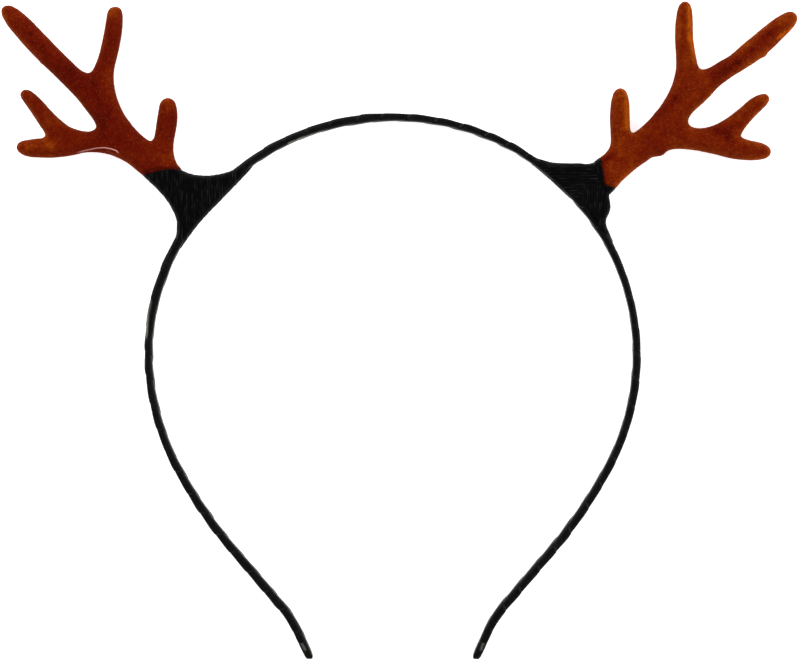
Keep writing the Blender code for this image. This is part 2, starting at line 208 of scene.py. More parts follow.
def rounded_section(thickness, width, corner, count):
    """Points round a rectangle with round corners, evenly spaced: distances outward and upward."""
    straights = (width - 2 * corner, thickness - 2 * corner)
    reaches = (width / 2, thickness / 2)
    arc = math.pi / 2 * corner
    total = 2 * sum(straights) + 4 * arc
    points = []
    for i in range(count):
        d = total * i / count
        for k in range(4):
            run = straights[k % 2]
            turn = -math.pi / 2 * k
            reach_up, reach_out = reaches[k % 2], reaches[(k + 1) % 2]
            if d < run:
                a, b = reach_out, reach_up - corner - d
            elif d < run + arc:
                angle = (d - run) / corner
                a = reach_out - corner + corner * math.cos(angle)
                b = -(reach_up - corner) - corner * math.sin(angle)
            else:
                d -= run + arc
                continue
            points.append((a * math.cos(turn) - b * math.sin(turn),
                           a * math.sin(turn) + b * math.cos(turn)))
            break
    return points


# Materials

# Tone of the flock, from patches to grain: noise scale, detail, roughness and weight
FLOCK_NOISES = ((330.0, 6.0, 0.68, 0.75), (950.0, 3.0, 0.60, 0.70), (2600.0, 3.0, 0.70, 1.05))
# Places of its shades in the tone, from deep to brightest, the share of the dark shade that the deep
# one has, and the share of the light shade that the brightest one has, mostly on the painted lit rims
FLOCK_PLACES = (0.0, 0.14, 0.50, 0.92, 1.0)
FLOCK_DEEP = 0.62
FLOCK_BRIGHTEST = 1.45
# Pale specks of the flock: noise scale, detail and roughness, where they begin, and their colour
SPECK_NOISE = (3300.0, 2.0, 0.5)
SPECK_STOPS = ((0.66, (0.0, 0.0, 0.0)), (0.72, (0.5, 0.5, 0.5)))
SPECK_COLOUR = (0.42, 0.15, 0.05)
# Colour of the highlight painted along the crease's ridge
CREASE_HIGHLIGHT_COLOUR = (0.84, 0.42, 0.36)
# Lumps and fibres of the nap: noise scale, detail, roughness, strength and height
FLOCK_BUMPS = ((1300.0, 3.0, 0.6, 0.40, 0.00025), (5200.0, 2.0, 0.6, 0.60, 0.00014))

# Ribbon: noise of its uneven gloss, where its shades lie, and how far its roughness wanders
GLOSS_NOISE = (700.0, 4.0, 0.6)
RIBBON_SHADES = ((0.30, 0.5), (0.75, 1.7))
GLOSS_SPAN = (0.3, 0.7)
GLOSS_WANDER = (-0.08, 0.10)
# Satin: its gloss, its threads and their bump, and the colour of its painted highlights
SATIN_GLOSS = 0.09
THREAD_SCALE = 5200.0
THREAD_BUMP = (0.5, 0.00004)
HIGHLIGHT_COLOUR = (0.34, 0.35, 0.29)
# Ribs: pitch where upright and where level, their drift, the patches that break them up and how
# much less these change across the ribs' length, the waves' weight, their shades and their bump
UPRIGHT_PITCH = 0.00072
LEVEL_PITCH = 0.00086
RIB_DRIFT = 0.0007
RIB_DRIFT_NOISE = (200.0, 2.0, 0.5)
RIB_PATCH_NOISE = (1900.0, 3.0, 0.5)
RIB_PATCH_STRETCH = 0.20
RIB_WEIGHT = 0.10
RIB_PLACES = (0.38, 0.56, 0.86)
RIB_MIDDLE = 2.2
RIB_BUMP = (0.7, 0.00020)


def shaded(colour, share):
    """Darker or lighter shade of a colour."""
    return tuple(share * part for part in colour)


def nodes_of(material):
    """Node tree and shader of a new material."""
    material.use_nodes = True
    tree = material.node_tree
    return tree, tree.nodes["Principled BSDF"]


def link(tree, source, target):
    """Join two sockets."""
    tree.links.new(source, target)


def object_coordinates(tree):
    """Coordinates in metres, in the model's frame."""
    return tree.nodes.new("ShaderNodeTexCoord").outputs["Object"]


def noise_node(tree, scale, detail, rough, place=None):
    """Noise texture, in object coordinates unless another place is given."""
    node = tree.nodes.new("ShaderNodeTexNoise")
    node.inputs["Scale"].default_value = scale
    node.inputs["Detail"].default_value = detail
    node.inputs["Roughness"].default_value = rough
    link(tree, object_coordinates(tree) if place is None else place, node.inputs["Vector"])
    return node.outputs["Fac"]


def ramp_node(tree, value, stops):
    """Colour ramp over a value."""
    node = tree.nodes.new("ShaderNodeValToRGB")
    ramp = node.color_ramp
    while len(ramp.elements) < len(stops):
        ramp.elements.new(0.5)
    for element, (place, colour) in zip(ramp.elements, stops):
        element.position = place
        element.color = (*colour, 1.0)
    link(tree, value, node.inputs["Fac"])
    return node.outputs["Color"]


def math_node(tree, operation, first, second):
    """Two values, or a value and a number, put together."""
    node = tree.nodes.new("ShaderNodeMath")
    node.operation = operation
    link(tree, first, node.inputs[0])
    if isinstance(second, float):
        node.inputs[1].default_value = second
    else:
        link(tree, second, node.inputs[1])
    return node.outputs[0]


def bump_node(tree, height, strength, distance, under=None):
    """Bump from a height."""
    node = tree.nodes.new("ShaderNodeBump")
    node.inputs["Strength"].default_value = strength
    node.inputs["Distance"].default_value = distance
    link(tree, height, node.inputs["Height"])
    if under is not None:
        link(tree, under, node.inputs["Normal"])
    return node.outputs["Normal"]


def attribute_node(tree, name):
    """Number stored at the vertices."""
    node = tree.nodes.new("ShaderNodeAttribute")
    node.attribute_name = name
    return node.outputs["Fac"]


def mix_node(tree, factor, first, second):
    """Two colours mixed by a factor, each a socket or three numbers."""
    node = tree.nodes.new("ShaderNodeMix")
    node.data_type = "RGBA"
    link(tree, factor, node.inputs["Factor"])
    for name, value in (("A", first), ("B", second)):
        if isinstance(value, tuple):
            node.inputs[name].default_value = (*value, 1.0)
        else:
            link(tree, value, node.inputs[name])
    return node.outputs["Result"]


def range_node(tree, value, span, onto, kind="LINEAR"):
    """Value mapped from one span onto another."""
    node = tree.nodes.new("ShaderNodeMapRange")
    node.interpolation_type = kind
    for name, limit in zip(("From Min", "From Max", "To Min", "To Max"), (*span, *onto)):
        node.inputs[name].default_value = limit
    link(tree, value, node.inputs["Value"])
    return node.outputs["Result"]


def centred(tree, value, amount):
    """A value from 0 to 1 as a push up or down of at most half the amount."""
    return math_node(tree, "MULTIPLY", math_node(tree, "SUBTRACT", value, 0.5), amount)


def crease_highlight_node(tree):
    """How strongly the painted highlight on the crease shows: its strength, fading to nothing a width
    away from it.
    """
    away = math_node(tree, "ABSOLUTE", attribute_node(tree, "crease_side"), 0.0)
    edge = (CREASE_CORE * CREASE_WIDTH, CREASE_WIDTH)
    fade = range_node(tree, away, edge, (1.0, 0.0), "SMOOTHSTEP")
    return math_node(tree, "MULTIPLY", fade, attribute_node(tree, "crease"))


def flock_material(name, dark, mid, light):
    """Short dense flock: patchy red-brown with tiny pale specks and a fine nap, over a tone at its
    vertices that carries painted light and shade.
    """
    material = bpy.data.materials.new(name)
    tree, shader = nodes_of(material)
    # Tone at the vertices, painted light and shade included
    mixed = attribute_node(tree, "tone_and_painted_light")
    for scale, detail, rough, weight in FLOCK_NOISES:
        part = noise_node(tree, scale, detail, rough)
        mixed = math_node(tree, "ADD", mixed, centred(tree, part, weight))
    shades = (shaded(dark, FLOCK_DEEP), dark, mid, light, shaded(light, FLOCK_BRIGHTEST))
    colour = ramp_node(tree, mixed, tuple(zip(FLOCK_PLACES, shades)))
    specks = ramp_node(tree, noise_node(tree, *SPECK_NOISE), SPECK_STOPS)
    colour = mix_node(tree, specks, colour, SPECK_COLOUR)
    # Painted highlight along the crease
    colour = mix_node(tree, crease_highlight_node(tree), colour, CREASE_HIGHLIGHT_COLOUR)
    link(tree, colour, shader.inputs["Base Color"])
    shader.inputs["Roughness"].default_value = 0.95
    shader.inputs["Specular IOR Level"].default_value = 0.03
    shader.inputs["Sheen Weight"].default_value = 0.10
    shader.inputs["Sheen Roughness"].default_value = 0.45
    shader.inputs["Sheen Tint"].default_value = (1.0, 0.30, 0.06, 1.0)
    nap = None
    for scale, detail, rough, strength, height in FLOCK_BUMPS:
        nap = bump_node(tree, noise_node(tree, scale, detail, rough), strength, height, nap)
    link(tree, nap, shader.inputs["Normal"])
    return material


def ribbon_shader(material, rough, gloss):
    """Shader of a ribbon with a slightly uneven gloss, without its colour and its threads."""
    tree, shader = nodes_of(material)
    mottle = noise_node(tree, *GLOSS_NOISE)
    roughs = [rough + wander for wander in GLOSS_WANDER]
    link(tree, range_node(tree, mottle, GLOSS_SPAN, roughs), shader.inputs["Roughness"])
    shader.inputs["Specular IOR Level"].default_value = gloss
    return tree, shader, mottle


def satin_material(name, colour, rough):
    """Smooth black ribbon with a fine weave, and pale highlights painted into its colour where the
    attribute says.
    """
    material = bpy.data.materials.new(name)
    tree, shader, mottle = ribbon_shader(material, rough, SATIN_GLOSS)
    base = ramp_node(tree, mottle, [(place, shaded(colour, share)) for place, share in RIBBON_SHADES])
    # Painted highlight: a pale colour mixed in on the ribbon's upper edge where it catches the light
    painted_highlight = mix_node(tree, attribute_node(tree, "painted_highlight"), base, HIGHLIGHT_COLOUR)
    link(tree, painted_highlight, shader.inputs["Base Color"])
    weave = tree.nodes.new("ShaderNodeTexVoronoi")
    weave.inputs["Scale"].default_value = THREAD_SCALE
    link(tree, object_coordinates(tree), weave.inputs["Vector"])
    link(tree, bump_node(tree, weave.outputs["Distance"], *THREAD_BUMP), shader.inputs["Normal"])
    return material


def rib_node(tree, axis, pitch, drift):
    """Round threads side by side along an axis, broken up by patches that stretch with them."""
    parts = tree.nodes.new("ShaderNodeSeparateXYZ")
    link(tree, object_coordinates(tree), parts.inputs["Vector"])
    place = math_node(tree, "ADD", parts.outputs[axis], centred(tree, drift, RIB_DRIFT))
    wave = math_node(tree, "SINE", math_node(tree, "MULTIPLY", place, 2 * math.pi / pitch), 0.0)
    stretch = tree.nodes.new("ShaderNodeMapping")
    scales = [1.0 if name == axis else RIB_PATCH_STRETCH for name in "XYZ"]
    stretch.inputs["Scale"].default_value = scales
    link(tree, object_coordinates(tree), stretch.inputs["Vector"])
    patch = noise_node(tree, *RIB_PATCH_NOISE, stretch.outputs["Vector"])
    return math_node(tree, "ADD", math_node(tree, "MULTIPLY", wave, RIB_WEIGHT), patch)


def ribbed_material(name, dark, light, rough, gloss):
    """Black ribbed ribbon: threads upright or level, as the attribute says."""
    material = bpy.data.materials.new(name)
    tree, shader, _ = ribbon_shader(material, rough, gloss)
    drift = noise_node(tree, *RIB_DRIFT_NOISE)
    mix = tree.nodes.new("ShaderNodeMix")
    mix.data_type = "FLOAT"
    link(tree, attribute_node(tree, "upright"), mix.inputs["Factor"])
    link(tree, rib_node(tree, "Y", LEVEL_PITCH, drift), mix.inputs["A"])
    link(tree, rib_node(tree, "X", UPRIGHT_PITCH, drift), mix.inputs["B"])
    ribs = mix.outputs["Result"]
    shades = (dark, shaded(dark, RIB_MIDDLE), light)
    link(tree, ramp_node(tree, ribs, tuple(zip(RIB_PLACES, shades))), shader.inputs["Base Color"])
    link(tree, bump_node(tree, ribs, *RIB_BUMP), shader.inputs["Normal"])
    return material


# Pieces

def mesh_object(bm, name):
    """Object for a mesh, in the scene."""
    bmesh.ops.recalc_face_normals(bm, faces=bm.faces)
    mesh = bpy.data.meshes.new(name)
    bm.to_mesh(mesh)
    bm.free()
    obj = bpy.data.objects.new(name, mesh)
    bpy.context.scene.collection.objects.link(obj)
    return obj


def smooth_piece(bm, name, material, node, smooth_angle):
    """Object for a mesh, smooth but for its sharp edges, in place of a node of the model."""
    obj = mesh_object(bm, name)
    obj.data.shade_smooth()
    obj.data.set_sharp_from_angle(angle=math.radians(smooth_angle))
    dress(obj, material, node)
    return obj


def bake_modifiers(obj):
    """Give an object the mesh that its modifiers make of it."""
    bpy.context.view_layer.update()
    evaluated = obj.evaluated_get(bpy.context.evaluated_depsgraph_get())
    obj.data = bpy.data.meshes.new_from_object(evaluated)
    obj.modifiers.clear()


def dress(obj, material, node):
    """Material and body of a piece that stands for a node, whose own part is hidden."""
    obj.data.materials.clear()
    obj.data.materials.append(material)
    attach(obj, "root")
    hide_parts(node)


def make_band(material):
    """Ribbon wound as one long helix, each turn lapping over the last by a step that wanders."""
    rng = random.Random(WINDING_SEED)
    end = HALF_LENGTH - TUCK
    turns = round(2 * end / WINDING_PITCH)
    pitches = [1.0 + PITCH_WANDER * rng.uniform(-1.0, 1.0) for _ in range(turns + 3)]
    scale = 2 * end / sum(pitches[1:turns + 1])
    starts = [-end - pitches[0] * scale]
    for pitch in pitches:
        starts.append(starts[-1] + pitch * scale)
    steps = [1.0 + STEP_WANDER * rng.uniform(-1.0, 1.0) for _ in range(turns + 4)]

    def place(turn):
        whole = min(int(turn), len(starts) - 2)
        return starts[whole] + (turn - whole) * (starts[whole + 1] - starts[whole])

    def step_at(turn):
        whole = min(int(turn), len(steps) - 2)
        share = smooth_step(0.0, 1.0, turn - whole)
        return WINDING_STEP * (steps[whole] * (1 - share) + steps[whole + 1] * share)

    low = rounded_section(BAND_THICKNESS, BAND_WIDTH, BAND_CORNER, WINDING_COLUMNS)
    folds = HALF_LENGTH - FOLD_LENGTH
    bm = bmesh.new()
    rows = []
    total = (turns + 2) * WINDING_COLUMNS
    for n in range(total + 1):
        turn = n / WINDING_COLUMNS
        out, up = low[n % WINDING_COLUMNS]
        away = Vector((out, up)).normalized()
        row = []
        for share, height in RIBBON_PROFILE:
            along = place(turn + share)
            held = min(end, max(-end, along))
            fading = 1 - smooth_step(folds - FOLD_EASE, folds, abs(along))
            raised = height * step_at(turn) * fading
            point, normal = band_frame(held)
            thick, push = wound_at(held)
            spot = point + (out * thick + push + raised * away.x) * normal
            spot.z += up + raised * away.y
            row.append(bm.verts.new(spot))
        rows.append(row)
    last = len(RIBBON_PROFILE) - 1
    for n in range(total):
        for i in range(last):
            bm.faces.new((rows[n][i], rows[n + 1][i], rows[n + 1][i + 1], rows[n][i + 1]))
        if n + 1 + WINDING_COLUMNS <= total:
            following = n + WINDING_COLUMNS
            bm.faces.new((rows[n][last], rows[n + 1][last],
                          rows[following + 1][0], rows[following][0]))
    bmesh.ops.remove_doubles(bm, verts=bm.verts, dist=SAME_SPOT)
    bmesh.ops.dissolve_degenerate(bm, edges=bm.edges, dist=NO_LENGTH)
    empty = [face for face in bm.faces if face.calc_area() < NO_AREA]
    bmesh.ops.delete(bm, geom=empty, context="FACES")
    bmesh.ops.holes_fill(bm, edges=[edge for edge in bm.edges if edge.is_boundary])
    band = smooth_piece(bm, "wound_ribbon", material, "band", BAND_SHARP)
    # Pale slivers of painted highlight on the band's upper edge
    paint_highlights(band, BAND_HIGHLIGHTS, BAND_WIDTH)


def make_tip(name, side, material, node, marks):
    """Ribbon folded smoothly over a tip, with a rounded, slightly pinched end."""
    bm = bmesh.new()
    rows = []
    for share, thick, wide in FOLD_PROFILE:
        along = HALF_LENGTH - FOLD_LENGTH * (1 - share)
        point, normal = band_frame(side * along)
        _, push = wound_at(side * along)
        onward = Vector((side * normal.y, -side * normal.x, 0.0))
        thickness = FOLD_THICKNESS * thick
        section = rounded_section(thickness, FOLD_WIDTH * wide, FOLD_CORNER * thickness, FOLD_COLUMNS)
        row = []
        for out, up in section:
            spot = point + (out + push + FOLD_LEAN * share ** 4) * normal
            spot -= FOLD_SLANT * share ** 3 * out * onward
            spot.z += up
            row.append(bm.verts.new(spot))
        rows.append(row)
    for first, second in zip(rows, rows[1:]):
        for i in range(FOLD_COLUMNS):
            j = (i + 1) % FOLD_COLUMNS
            bm.faces.new((first[i], first[j], second[j], second[i]))
    bm.faces.new(rows[0])
    bm.faces.new(rows[-1])
    tip = smooth_piece(bm, name, material, node, FOLD_SHARP)
    rounding = tip.modifiers.new("rounding", "SUBSURF")
    rounding.levels = 2
    rounding.render_levels = 2
    bake_modifiers(tip)
    # A pale patch of painted highlight on the fold's upper edge
    paint_highlights(tip, marks, FOLD_WIDTH)


def resampled(pixels, spacing):
    """Closed smooth line through points of the photograph, as evenly spaced points of the model."""
    knots = [seen(px, py) for px, py in pixels]
    count = len(knots)
    points = []
    for i in range(count):
        before, first, second, after = (knots[(i + k) % count] for k in (-1, 0, 1, 2))
        steps = max(1, round((second - first).length / spacing))
        for k in range(steps):
            t = k / steps
            points.append(0.5 * (2 * first + (second - before) * t
                                 + (2 * before - 5 * first + 4 * second - after) * t * t
                                 + (3 * first - before - 3 * second + after) * t * t * t))
    return points


# Spacing of a shell's outline and of its inner points, voxel of its even mesh, rounds of smoothing
WRAP_MESH = (0.0005, 0.0006, 0.00020, 2)
COLLAR_MESH = (0.0003, 0.0004, 0.00013, 1)
ANTLER_MESH = (0.0005, 0.0006, 0.00025, 3)
# How much shallower than its node each shell is drawn, for the threads and lumps that it gets
LEFT_ROOM = 0.00010
RIGHT_ROOM = 0.00016
COLLAR_ROOM = 0.00004
ANTLER_ROOM = 0.00012
# Rows of a shell's inner points, as a share of their spacing, and how near its edge they may come
ROW_SHARE = 0.866
EDGE_SHARE = 0.6
# How far in, as shares of the rounded reach, its points follow the outline, and how near the edge
# such a point may come, as a share of how far in it lies
RING_SHARES = (0.04, 0.14, 0.32)
RING_SLACK = 0.9
# What the triangulation keeps, which is the inside, and how near two of its points may be
KEEP_INSIDE = 1
NEAREST = 1e-8


def edge_distance(points, starts, ends):
    """Distance from each point to the nearest of some edges."""
    nearest = np.full(len(points), np.inf)
    for start, end in zip(starts, ends):
        run = end - start
        share = np.clip(((points - start) @ run) / (run @ run), 0.0, 1.0)
        nearest = np.minimum(nearest, np.linalg.norm(points - start - share[:, None] * run, axis=1))
    return nearest


def puffed(name, ring, upright, half_depth, reach, spacing):
    """Closed shell over an outline, rounded from its full depth down to all but upright edges."""
    corners = np.array([(p.x, p.y) for p in ring])
    following = np.roll(corners, -1, axis=0)
    area = np.sum(corners[:, 0] * following[:, 1] - corners[:, 1] * following[:, 0])
    along = following - np.roll(corners, 1, axis=0)
    inward = np.stack((-along[:, 1], along[:, 0]), axis=1) * np.sign(area)
    inward /= np.linalg.norm(inward, axis=1)[:, None]
    rounded = [i for i in range(len(corners)) if i not in upright]
    grown = corners - SHELL_SWELL * inward
    corners[rounded] = grown[rounded]
    following = np.roll(corners, -1, axis=0)
    low = corners.min(axis=0)
    high = corners.max(axis=0)
    rows = np.arange(low[1], high[1], spacing * ROW_SHARE)
    lattice = [(x + (k % 2) * spacing / 2, y) for k, y in enumerate(rows)
               for x in np.arange(low[0], high[0], spacing)]
    fillers = [(np.array(lattice), EDGE_SHARE * spacing)]
    for share in RING_SHARES:
        fillers.append((corners + share * reach * inward, RING_SLACK * share * reach))
    kept = [corners]
    for points, least in fillers:
        kept.append(points[edge_distance(points, corners, following) > least])
    flat = np.concatenate(kept)
    edges = [(i, (i + 1) % len(corners)) for i in range(len(corners))]
    points = [Vector(point) for point in flat]
    spots, _, faces, *_ = delaunay_2d_cdt(points, edges, [], KEEP_INSIDE, NEAREST)
    spots = np.array([(spot.x, spot.y) for spot in spots])
    depth = np.clip(edge_distance(spots, corners[rounded], following[rounded]) / reach, 0.0, 1.0)
    depth = half_depth * np.sqrt(1.0 - (1.0 - depth) ** 2)
    bm = bmesh.new()
    tops = [bm.verts.new((x, y, MIDDLE + d)) for (x, y), d in zip(spots, depth)]
    bottoms = [bm.verts.new((x, y, MIDDLE - d)) for (x, y), d in zip(spots, depth)]
    rims = {}
    for a, b, c in faces:
        bm.faces.new((tops[a], tops[b], tops[c]))
        bm.faces.new((bottoms[c], bottoms[b], bottoms[a]))
        for first, second in ((a, b), (b, c), (c, a)):
            key = frozenset((first, second))
            rims[key] = None if key in rims else (first, second)
    for rim in rims.values():
        if rim:
            first, second = rim
            bm.faces.new((tops[second], tops[first], bottoms[first], bottoms[second]))
    bmesh.ops.remove_doubles(bm, verts=bm.verts, dist=NO_LENGTH)
    loose = [vert for vert in bm.verts if not vert.link_faces]
    bmesh.ops.delete(bm, geom=loose, context="VERTS")
    return mesh_object(bm, name)


def edges_between(pixels, ring, first, last):
    """Numbers of the ring's edges between two of the pixels that it was made from, in its order."""
    spots = (seen(*pixels[first]), seen(*pixels[last]))
    start, end = (min(range(len(ring)), key=lambda i: (ring[i] - spot).length) for spot in spots)
    count = (end - start) % len(ring)
    return {(start + k) % len(ring) for k in range(count)}


def drawn_ring(pixels, spacing):
    """Closed line with straight edges between points of the photograph, divided evenly."""
    knots = [seen(px, py) for px, py in pixels]
    points = []
    for first, second in zip(knots, knots[1:] + knots[:1]):
        steps = max(1, round((second - first).length / spacing))
        points.extend(first.lerp(second, k / steps) for k in range(steps))
    return points


def even_out(obj, voxel, smoothing):
    """Give an object an even mesh, and smooth it a little."""
    remesh = obj.modifiers.new("even", "REMESH")
    remesh.mode = "VOXEL"
    remesh.voxel_size = voxel
    relax = obj.modifiers.new("relax", "SMOOTH")
    relax.factor = 0.5
    relax.iterations = smoothing
    bake_modifiers(obj)
    obj.data.shade_smooth()


def thread(value, pitch):
    """Height of round threads side by side, from -0.5 to 0.5."""
    return abs(math.sin(math.pi * value / pitch)) - 0.5


def displace(obj, height):
    """Move each vertex along its normal by a height."""
    mesh = obj.data
    moves = [height(vertex.co, vertex.normal) * vertex.normal for vertex in mesh.vertices]
    for vertex, move in zip(mesh.vertices, moves):
        vertex.co += move
    mesh.update()


# A wrap's depth at its ends on the band, as a share of its full depth, how far in it reaches full
# depth, and the radius of the dent in its middle
WRAP_END = 0.87
WRAP_END_REACH = 0.008
DENT_RADIUS = 0.0045


def sag(obj, ends_px, dent_px, dent):
    """Thin a wrap towards its ends on the band, and sink its middle a little."""
    ends = [at(*end_px).to_2d() for end_px in ends_px]
    centre = at(*dent_px).to_2d()
    for vertex in obj.data.vertices:
        spot = vertex.co.to_2d()
        near = min((spot - end).length for end in ends)
        share = WRAP_END + (1 - WRAP_END) * smooth_step(0.0, WRAP_END_REACH, near)
        share -= dent * math.exp(-((spot - centre).length / DENT_RADIUS) ** 2)
        vertex.co.z = MIDDLE + (vertex.co.z - MIDDLE) * share
    obj.data.update()


# Outlines in the photograph. Between the points of an upright pair an outline isn't rounded down.
LEFT_WRAP_PX = (
    (143.5, 175.4), (150.5, 173.6), (157.5, 171.3), (164, 169.9), (170, 169.4), (176, 169.6),
    (181.3, 170.3),
    (188, 173.4), (195, 175.2), (203, 176), (210, 175.9), (220, 174.4), (228, 172.3),
    (234, 170), (240, 166.8), (246, 161.4), (252.5, 156.6),
    (255.7, 161.3), (248.6, 170.8), (240.6, 179.4), (230.6, 189.6), (220.7, 200), (210.7, 210),
    (200.6, 220.9), (192.5, 231), (185.9, 240.1), (180.2, 248.3),
    (173.6, 244.8), (175.4, 239), (177, 233), (177.3, 228), (177.3, 221.8), (175.4, 214.8),
    (170.7, 205.3), (164.5, 196.5), (156.9, 188.2), (149.2, 181),
)
LEFT_UPRIGHT = ((0, 6),)
RIGHT_WRAP_PX = (
    (594, 162.6), (601, 178), (609, 193),
    (608.4, 197), (609.4, 202), (609.8, 207), (609, 211.5), (607.2, 215.5), (605.4, 219),
    (605.2, 223), (606.2, 227.5), (609.2, 234.5), (612.4, 242),
    (606.4, 244.8), (603.4, 239.5), (600.2, 234.5), (596.3, 228.9), (592.4, 222.7), (588.5, 216.2),
    (584.5, 210.4), (577.5, 203), (569.8, 197.6), (559.9, 188.2), (550, 179), (540, 170.4),
    (531, 163),
    (534, 156.9), (538, 158.9), (545, 161), (552, 162.7), (560, 163.4), (570, 163.5),
    (580, 163.5), (586, 164.3), (590, 164),
)
RIGHT_UPRIGHT = ((0, 2),)
COLLAR_PX = (
    (600.2, 157.6), (601.2, 165), (602.8, 173), (603.6, 180), (603.9, 184.6), (607, 186.3),
    (611.5, 187.5), (615.8, 187.5),
    (612.8, 190.9), (609.3, 194.4),
    (603.5, 188), (599, 179), (595.5, 171), (592.4, 164.2), (596, 160.8),
)
COLLAR_UPRIGHT = ((0, 7), (9, 13))


def beside(spot, first, second):
    """A point's distance in the plane from a stretch, its place along it, and its side of it."""
    run = (second - first).to_2d()
    to = (spot - first).to_2d()
    share = min(1.0, max(0.0, to.dot(run) / run.length_squared))
    return (to - share * run).length, share, 1.0 if run.cross(to) > 0.0 else -1.0


def stretches(table):
    """Painted stretches: both ends, width and amount."""
    return [(seen(x0, y0), seen(x1, y1), width * PIXEL, amount)
            for x0, y0, x1, y1, width, amount in table]


def painted(spot, marks):
    """Sum of soft marks at a point."""
    return sum(amount * math.exp(-(beside(spot, first, second)[0] / width) ** 2)
               for first, second, width, amount in marks)


def upper_edge(spot, width):
    """1 on the upper edge of a ribbon that stands on its edge, and 0 further down its sides."""
    return smooth_step(width / 2 - EDGE_FADE[1], width / 2 - EDGE_FADE[0], spot.z - MIDDLE)


def write_attribute(obj, name, value):
    """Store a number at each vertex."""
    layer = obj.data.attributes.new(name, "FLOAT", "POINT")
    for vertex in obj.data.vertices:
        layer.data[vertex.index].value = value(vertex.co, vertex.normal)


def paint_highlights(obj, table, width):
    """Paint pale highlights into a ribbon's colour, on its upper edge alone."""
    marks = stretches(table)
    write_attribute(obj, "painted_highlight", lambda spot, normal: painted(spot, marks) * upper_edge(spot, width))


# Ends of each wrap on the band, the middle of its dent and the dent's depth as a share
LEFT_SAG = (((176.5, 246.5), (254, 158.7)), (192, 195), 0.07)
RIGHT_SAG = (((532, 160), (609.5, 243.5)), (583, 187), 0.05)
# Threads that stand out: pitch and height
LEFT_THREADS = (0.00143, 0.00009)
RIGHT_THREADS = (0.00086, 0.00006)
COLLAR_THREADS = (0.00075, 0.00005)
# How far they stand out as a rule, and how much this varies from place to place
LEFT_BOLD = (0.6, 0.6)
RIGHT_BOLD = (0.7, 0.5)
BOLD_SCALE = 300
# How far the left wrap's threads wander, and how fast across and along them
THREAD_WANDER = 0.00025
WANDER_SCALES = (260, 60)
# Slope of the right wrap's level threads
LEVEL_SLOPE = 0.06
# Upper corner of the right wrap's upright layer, how it begins across and down, and its thickness
LAYER_PX = (583.0, 185.0)
LAYER_ACROSS = (-0.0012, 0.0002)
LAYER_DOWN = (-0.0005, 0.0005)
LAYER_RISE = 0.00009
# Lumps: height and noise scale
WRAP_LUMPS = (0.00005, 420)
COLLAR_LUMPS = (0.00004, 500)
# Direction across the collar's turns, and where the first one starts
COLLAR_ACROSS = Vector((0.83, 0.40, 0.0)).normalized()
COLLAR_START_PX = (596.0, 161.0)
COLLAR_ROUND = 0.0012


def drawn_shell(name, pixels, upright, room, reach, sizes):
    """Even shell of a wrap or the collar over its outline in the photograph."""
    ring = drawn_ring(pixels, sizes[0])
    edges = set().union(*(edges_between(pixels, ring, *pair) for pair in upright))
    shell = puffed(name, ring, edges, HALF_DEPTH - room, reach, sizes[1])
    even_out(shell, *sizes[2:])
    return shell


def lumps(spot, height, scale):
    """Height of small lumps at a point."""
    return height * noise.noise(spot * scale)


def boldness(spot, usual, varied):
    """How far the threads stand out at a point."""
    return usual + varied * noise.noise(spot * BOLD_SCALE)


def make_left_wrap(material):
    """Left wrap: its ribbon runs up and down round the band and the antler's root."""
    wrap = drawn_shell("left_wrap", LEFT_WRAP_PX, LEFT_UPRIGHT, LEFT_ROOM, WRAP_ROUND, WRAP_MESH)
    sag(wrap, *LEFT_SAG)
    pitch, rise = LEFT_THREADS

    def height(spot, normal):
        across, along = WANDER_SCALES
        drift = THREAD_WANDER * noise.noise(Vector((spot.x * across, spot.y * along, 3.0)))
        upright = thread(spot.x + drift, pitch) * boldness(spot, *LEFT_BOLD)
        return rise * upright + lumps(spot, *WRAP_LUMPS)

    displace(wrap, height)
    write_attribute(wrap, "upright", lambda spot, normal: 1.0)
    dress(wrap, material, "gusset_left")


def make_right_wrap(material):
    """Right wrap: across its upper part the ribbon runs level, and down its lower part upright."""
    wrap = drawn_shell("right_wrap", RIGHT_WRAP_PX, RIGHT_UPRIGHT, RIGHT_ROOM, WRAP_ROUND, WRAP_MESH)
    sag(wrap, *RIGHT_SAG)
    corner = at(*LAYER_PX)
    pitch, rise = RIGHT_THREADS

    def layer(spot):
        return (smooth_step(*LAYER_DOWN, corner.y - spot.y)
                * smooth_step(*LAYER_ACROSS, spot.x - corner.x))

    def height(spot, normal):
        level = thread(spot.y + LEVEL_SLOPE * spot.x, pitch) * boldness(spot, *RIGHT_BOLD)
        covered = layer(spot)
        return rise * level * (1 - covered) + LAYER_RISE * covered + lumps(spot, *WRAP_LUMPS)

    displace(wrap, height)
    write_attribute(wrap, "upright", lambda spot, normal: layer(spot))
    dress(wrap, material, "gusset_right")


def make_collar(material):
    """Narrow tape wound twice round the right antler's root."""
    collar = drawn_shell("root_tape", COLLAR_PX, COLLAR_UPRIGHT, COLLAR_ROOM, COLLAR_ROUND,
                         COLLAR_MESH)
    first_turn = at(*COLLAR_START_PX)
    pitch, rise = COLLAR_THREADS

    def height(spot, normal):
        turns = thread((spot - first_turn).dot(COLLAR_ACROSS), pitch)
        return rise * turns + lumps(spot, *COLLAR_LUMPS)

    displace(collar, height)
    write_attribute(collar, "upright", lambda spot, normal: 1.0)
    dress(collar, material, "collar_right")


